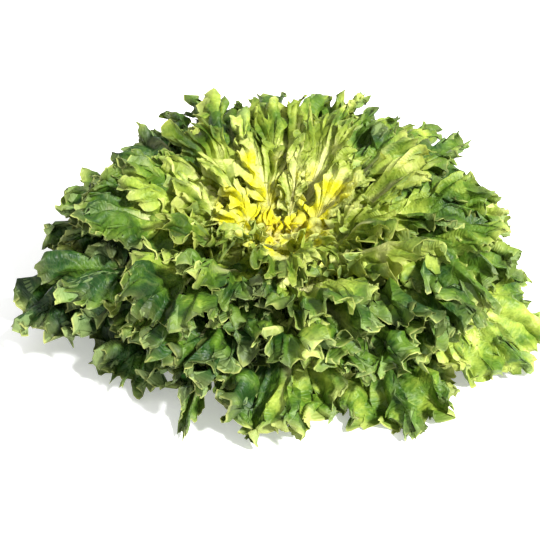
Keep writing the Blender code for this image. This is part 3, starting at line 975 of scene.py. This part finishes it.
def colour_ramp(add, value, stops):
    node = add("ValToRGB", {0: value})
    ramp = node.color_ramp
    while len(ramp.elements) < len(stops):
        ramp.elements.new(0.5)
    for element, (position, colour) in zip(ramp.elements, stops):
        element.position = position
        element.color = (*colour, 1)
    return node.outputs[0]


def leaf_material(name, roughness, through, glow):
    """A thin leaf: mottled, veined, paler on its rib, its margin and its lower side, and lit through."""
    material = bpy.data.materials.new(name)
    add = grapher(material)
    here = add("TexCoord", {}).outputs["Object"]
    place = add("Attribute", {}, attribute_name="place").outputs["Vector"]
    along_leaf, across, to_margin = add("SeparateXYZ", {0: place}).outputs
    # The ripe number also carries painted light: it is higher on the sunlit right side of the head.
    ripe_with_painted_light, rib, under = (add("Attribute", {}, attribute_name=key).outputs["Fac"] for key in LEAF_NUMBERS)

    noises, shade = {}, ripe_with_painted_light
    for key, (scale, detail, share) in MOTTLES.items():
        noises[key] = add("TexNoise", {"Vector": here, "Scale": scale, "Detail": detail}).outputs[0]
        darkest = calculate(add, "SUBTRACT", shade, share / 2)
        shade = calculate(add, "MULTIPLY_ADD", noises[key], share, darkest)
    broad = noises["broad"]

    # Side veins leave the rib at a slant; a net of small veins fills the blade between them.
    aside = calculate(add, "ABSOLUTE", across)
    slanted = calculate(add, "MULTIPLY_ADD", aside, -VEIN_SLANT, along_leaf)
    slanted = calculate(add, "MULTIPLY_ADD", broad, VEIN_WANDER, slanted)
    ridge = calculate(add, "PINGPONG", calculate(add, "MULTIPLY", slanted, 1 / VEIN_SPACING), 0.5)
    vein = opposite(add, band(add, ridge, *VEIN_BAND))
    vein = calculate(add, "MULTIPLY", vein, band(add, to_margin, *VEIN_END))
    net = add("TexVoronoi", {"Vector": place, "Scale": NET_SCALE}, feature="DISTANCE_TO_EDGE")
    cells = net.outputs["Distance"]
    small_vein = opposite(add, band(add, cells, *SMALL_VEIN_BAND))

    colour = colour_ramp(add, shade, GREENS)
    lighter = blend_colours(add, 0.5, colour, VEIN_COLOUR)
    parts = (("small_vein", small_vein, lighter), ("vein", vein, lighter), ("rib", rib, CREAM))
    for key, where, paint in parts:
        colour = blend_colours(add, calculate(add, "MULTIPLY", where, COVERS[key]), colour, paint)
    pale_side = blend_colours(add, COVERS["under"], colour, UNDERSIDE)
    colour = blend_colours(add, under, colour, pale_side)
    near_margin = opposite(add, band(add, to_margin, *MARGIN_BAND))
    least, more = MARGIN_COVERS
    faded = calculate(add, "MULTIPLY_ADD", band(add, noises["patches"], *MARGIN_PATCHES), more, least)
    colour = blend_colours(add, calculate(add, "MULTIPLY", near_margin, faded), colour, MARGIN)
    rim = opposite(add, band(add, to_margin, *RIM_BAND))
    rim = calculate(add, "MULTIPLY", rim, band(add, broad, *RIM_PATCHES))
    colour = blend_colours(add, calculate(add, "MULTIPLY", rim, COVERS["rim"]), colour, MARGIN)

    forms = {"blister": band(add, cells, *BLISTER_BAND), "fine": noises["fine"], "spots": noises["spots"]}
    height = calculate(add, "MULTIPLY", vein, RELIEF["vein"])
    for key, form in forms.items():
        height = calculate(add, "MULTIPLY_ADD", form, RELIEF[key], height)
    bump = add("Bump", {"Strength": RELIEF_STRENGTH, "Distance": RELIEF_DEPTH, "Height": height}).outputs[0]
    smoothest = roughness - MOTTLED_ROUGHNESS / 2
    rough = calculate(add, "MULTIPLY_ADD", under, UNDER_DULLER, smoothest)
    rough = calculate(add, "MULTIPLY_ADD", broad, MOTTLED_ROUGHNESS, rough)
    face = add("BsdfPrincipled", {
        "Base Color": colour, "Roughness": rough, "Normal": bump, "Specular IOR Level": SPECULAR,
    }).outputs[0]
    lit = blend_colours(add, INNER_SHARE, colour, glow)
    lit_through = add("BsdfTranslucent", {"Color": lit, "Normal": bump}).outputs[0]
    mixed = add("MixShader", {0: through, 1: face, 2: lit_through}).outputs[0]
    add("OutputMaterial", {0: mixed})
    return material


def stem_material(name):
    """The cut stem: cream flesh with fine fibres, a browner rim and cut face."""
    material = bpy.data.materials.new(name)
    add = grapher(material)
    here = add("TexCoord", {}).outputs["Object"]
    stretched = add("Mapping", {0: here, 3: (1.0, 1.0, 0.25)}).outputs[0]
    fibres = add("TexNoise", {"Vector": stretched, "Scale": 500.0, "Detail": 4.0}).outputs[0]
    stains = add("TexNoise", {"Vector": here, "Scale": 120.0, "Detail": 4.0}).outputs[0]
    low = opposite(add, band(add, add("SeparateXYZ", {0: here}).outputs[2], 0.0, BROWN_UP_TO))
    browned = calculate(add, "MULTIPLY", low, band(add, stains, 0.35, 0.75))
    colour = blend_colours(add, fibres, *FLESH)
    colour = blend_colours(add, calculate(add, "MULTIPLY", browned, 0.7), colour, BROWN)
    bump = add("Bump", {"Strength": 0.5, "Distance": 0.0008, "Height": fibres}).outputs[0]
    face = add("BsdfPrincipled", {"Base Color": colour, "Roughness": 0.55, "Normal": bump}).outputs[0]
    add("OutputMaterial", {0: face})
    return material


def add_object(name, data):
    added = bpy.data.objects.new(name, data)
    bpy.context.scene.collection.objects.link(added)
    return added


def aim(aimed, direction):
    """Turns a light or a camera so that it looks in that direction."""
    aimed.rotation_mode = "QUATERNION"
    aimed.rotation_quaternion = Vector(direction).to_track_quat("-Z", "Y")


def add_piece(name, points, faces, material, slot, *nodes):
    """A piece that rides on the head, takes its finish from the material and stands for the nodes; the slot
    is not used.
    """
    mesh = bpy.data.meshes.new(name)
    mesh.from_pydata(points, [], faces)
    mesh.materials.append(material)
    mesh.shade_smooth()
    mesh.set_sharp_from_angle(angle=SHARP_FROM)
    piece = add_object(name, mesh)
    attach(piece, "root")
    if nodes:
        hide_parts(*nodes)
    return piece


def set_numbers(mesh, name, values):
    kind = "FLOAT_VECTOR" if values.ndim == 2 else "FLOAT"
    attribute = mesh.attributes.new(name, kind, "POINT")
    attribute.data.foreach_set("vector" if values.ndim == 2 else "value", values.astype(np.float32).ravel())


def ripeness_with_painted_light(sheet, leaf):
    """How yellow the leaf is at each point: greener outwards, paler towards the base and the head's axis,
    and, as painted light, yellower towards the sunlit right side.
    """
    u = leaf["plan"]["u"]
    radius = np.hypot(sheet["upper"][..., 0], sheet["upper"][..., 1])
    by_radius = np.interp(radius, *zip(*RIPE_BY_RADIUS))
    # Painted light: yellower and paler towards +X, the side the sun comes from.
    painted_light_by_side = PAINTED_LIGHT_BY_SIDE * sheet["upper"][..., 0] / SIDE_REACH
    by_rank = RIPE_BY_RANK * u + RIPE_AT_BASE * u * (1 - sheet["t"])
    return by_radius + by_rank + painted_light_by_side + leaf["tint"]


def write_attributes(mesh, sheets):
    """Sets what the leaf material reads, for sheets whose points follow one another in the mesh."""
    place, ripe_with_painted_light, rib, under = [], [], [], []
    for sheet in sheets:
        count = len(sheet["place"])
        centre = np.array([[sheet["length"] * RAY_CENTRE, 0, sheet["place"][:, 2].max()]])
        place += [sheet["place"], sheet["place"], centre, centre]
        ripe_with_painted_light += [sheet["ripe_with_painted_light"], sheet["ripe_with_painted_light"], [sheet["ripe_with_painted_light"][:sheet["first_ring"]].mean()] * 2]
        rib += [sheet["rib"], sheet["rib"], [1 - smooth_step(RAY_CENTRE, *RIB_FADE)] * 2]
        under += [np.zeros(count), np.ones(count), [0, 1]]
    for name, values in zip(("place", *LEAF_NUMBERS), (place, ripe_with_painted_light, rib, under)):
        set_numbers(mesh, name, np.concatenate(values))


def joined(solids):
    """The points and the faces of several solids as those of one."""
    points, faces, first = [], [], 0
    for solid_points, solid_faces in solids:
        points += np.asarray(solid_points).tolist()
        faces += [tuple(first + corner for corner in face) for face in solid_faces]
        first += len(solid_points)
    return points, faces


def add_leaf(name, zone, sheets, materials, *nodes):
    """A piece made of one sheet or more, with the looks of its zone."""
    points, faces = joined([(sheet["points"], sheet["faces"]) for sheet in sheets])
    piece = add_piece(name, points, faces, materials[zone], SLOTS[zone], *nodes)
    write_attributes(piece.data, sheets)


def zone_of(leaf):
    """The name of the ring that the leaf belongs to."""
    u = leaf["plan"]["u"]
    return "outer" if u < OUTER_UP_TO else "middle" if u < MIDDLE_UP_TO else "inner"


def filling_leaf(plan, waves_share):
    leaf = new_leaf(plan, *leaf_net(plan))
    leaf["share"] += waves_share
    return leaf


def filling_leaves(dice):
    """More leaves, in between the rough ones, which fill the head."""
    found = []
    for k in range(EXTRA_COUNT):
        plan = leaf_plan(EXTRA_FROM + k, dice)
        bearing = math.degrees(plan["azimuth"]) % 360
        if plan["u"] > GAPS_FROM and any(low < bearing < high for low, high in GAPS):
            continue
        plan["length"] *= EXTRA_LENGTH
        plan["width"] *= EXTRA_WIDTH
        found.append(filling_leaf(plan, FILL_WAVES))
    return [*found, filling_leaf({**leaf_plan(0, dice), **LOW_LEAF}, 1)]


def coloured_leaf(leaf, seed, tree):
    """The leaf's fine sheet, with its own draws and its own tint."""
    dice = random.Random(seed)
    leaf["tint"] = dice.uniform(-1, 1) * along(TINTS, leaf["plan"]["u"])
    sheet = fine_leaf(leaf, dice, tree)
    sheet["ripe_with_painted_light"] = ripeness_with_painted_light(sheet, leaf)
    return sheet


def make_leaves(leaves, core, materials):
    """The filling leaves, then the leaves that stand for the rough ones, then the heart."""
    for number, leaf in enumerate(filling_leaves(random.Random(FINE_SEED))):
        zone = zone_of(leaf)
        sheet = coloured_leaf(leaf, FILL_SEED + number, None)
        add_leaf(f"{zone}_fill_{number + 1:02d}", zone, [sheet], materials)
    rough = [blade(placed_net(leaf), leaf["thickness"], leaf["plan"]) for leaf in leaves]
    heart_sheets = []
    for number, leaf in enumerate(leaves):
        others = [solid for k, solid in enumerate(rough) if k != number] + [core]
        tree = None if leaf["bunch"] else BVHTree.FromPolygons(*joined(others))
        sheet = coloured_leaf(leaf, FINE_SEED + number, tree)
        if leaf["bunch"]:
            heart_sheets.append(sheet)
            continue
        zone = zone_of(leaf)
        label = f"{number + 1:02d}"
        add_leaf(f"{zone}_leaf_{label}", zone, [sheet], materials, f"leaf_{label}_{zone}")
    add_leaf("heart_leaves", "heart", heart_sheets, materials, "heart")


def make_stem(material):
    """The stem: round, with a flat cut face, a slight foot and a narrow neck."""
    points, faces = turned(STEM_OUTLINE, STEM_SIDES)
    return add_piece("stem", points, faces, material, "stem_white", "crown")


def make_stage():
    """The pale floor, the white sky, the sun and the camera."""
    floor_mesh = bpy.data.meshes.new("floor")
    corners = [(x * FLOOR_HALF, y * FLOOR_HALF, 0) for x, y in ((-1, -1), (1, -1), (1, 1), (-1, 1))]
    floor_mesh.from_pydata(corners, [], [(0, 1, 2, 3)])
    floor = add_object("floor", floor_mesh)
    material = bpy.data.materials.new("floor")
    add = grapher(material)
    face = add("BsdfPrincipled", {
        "Base Color": (0.93, 0.93, 0.93, 1), "Roughness": 0.8,
        "Emission Color": (1, 1, 1, 1), "Emission Strength": FLOOR_GLOW,
    }).outputs[0]
    add("OutputMaterial", {0: face})
    floor_mesh.materials.append(material)

    world = bpy.data.worlds.new("studio")
    world.use_nodes = True
    world.node_tree.nodes["Background"].inputs["Color"].default_value = (1, 1, 1, 1)
    world.node_tree.nodes["Background"].inputs["Strength"].default_value = SKY
    bpy.context.scene.world = world

    sun = add_object("sun", bpy.data.lights.new("sun", "SUN"))
    sun.data.energy = SUN
    sun.data.angle = SUN_SIZE
    aim(sun, SUN_TRAVEL)

    camera = add_object("camera", bpy.data.cameras.new("camera"))
    camera.data.lens = CAMERA_LENS
    back = Vector((0, -math.cos(CAMERA_ELEVATION), math.sin(CAMERA_ELEVATION)))
    camera.location = Vector(CAMERA_TARGET) + back * CAMERA_DISTANCE
    aim(camera, -back)
    bpy.context.scene.camera = camera


def main():
    bpy.context.scene.view_settings.view_transform = "Standard"
    make_stage()
    core = turned(HEART_CORE, HEART_SIDES)
    leaves = settled_leaves(core)
    materials = {zone: leaf_material(SLOTS[zone], *looks) for zone, looks in LEAF_LOOKS.items()}
    make_stem(stem_material("stem_white"))
    make_leaves(leaves, core, materials)


main()
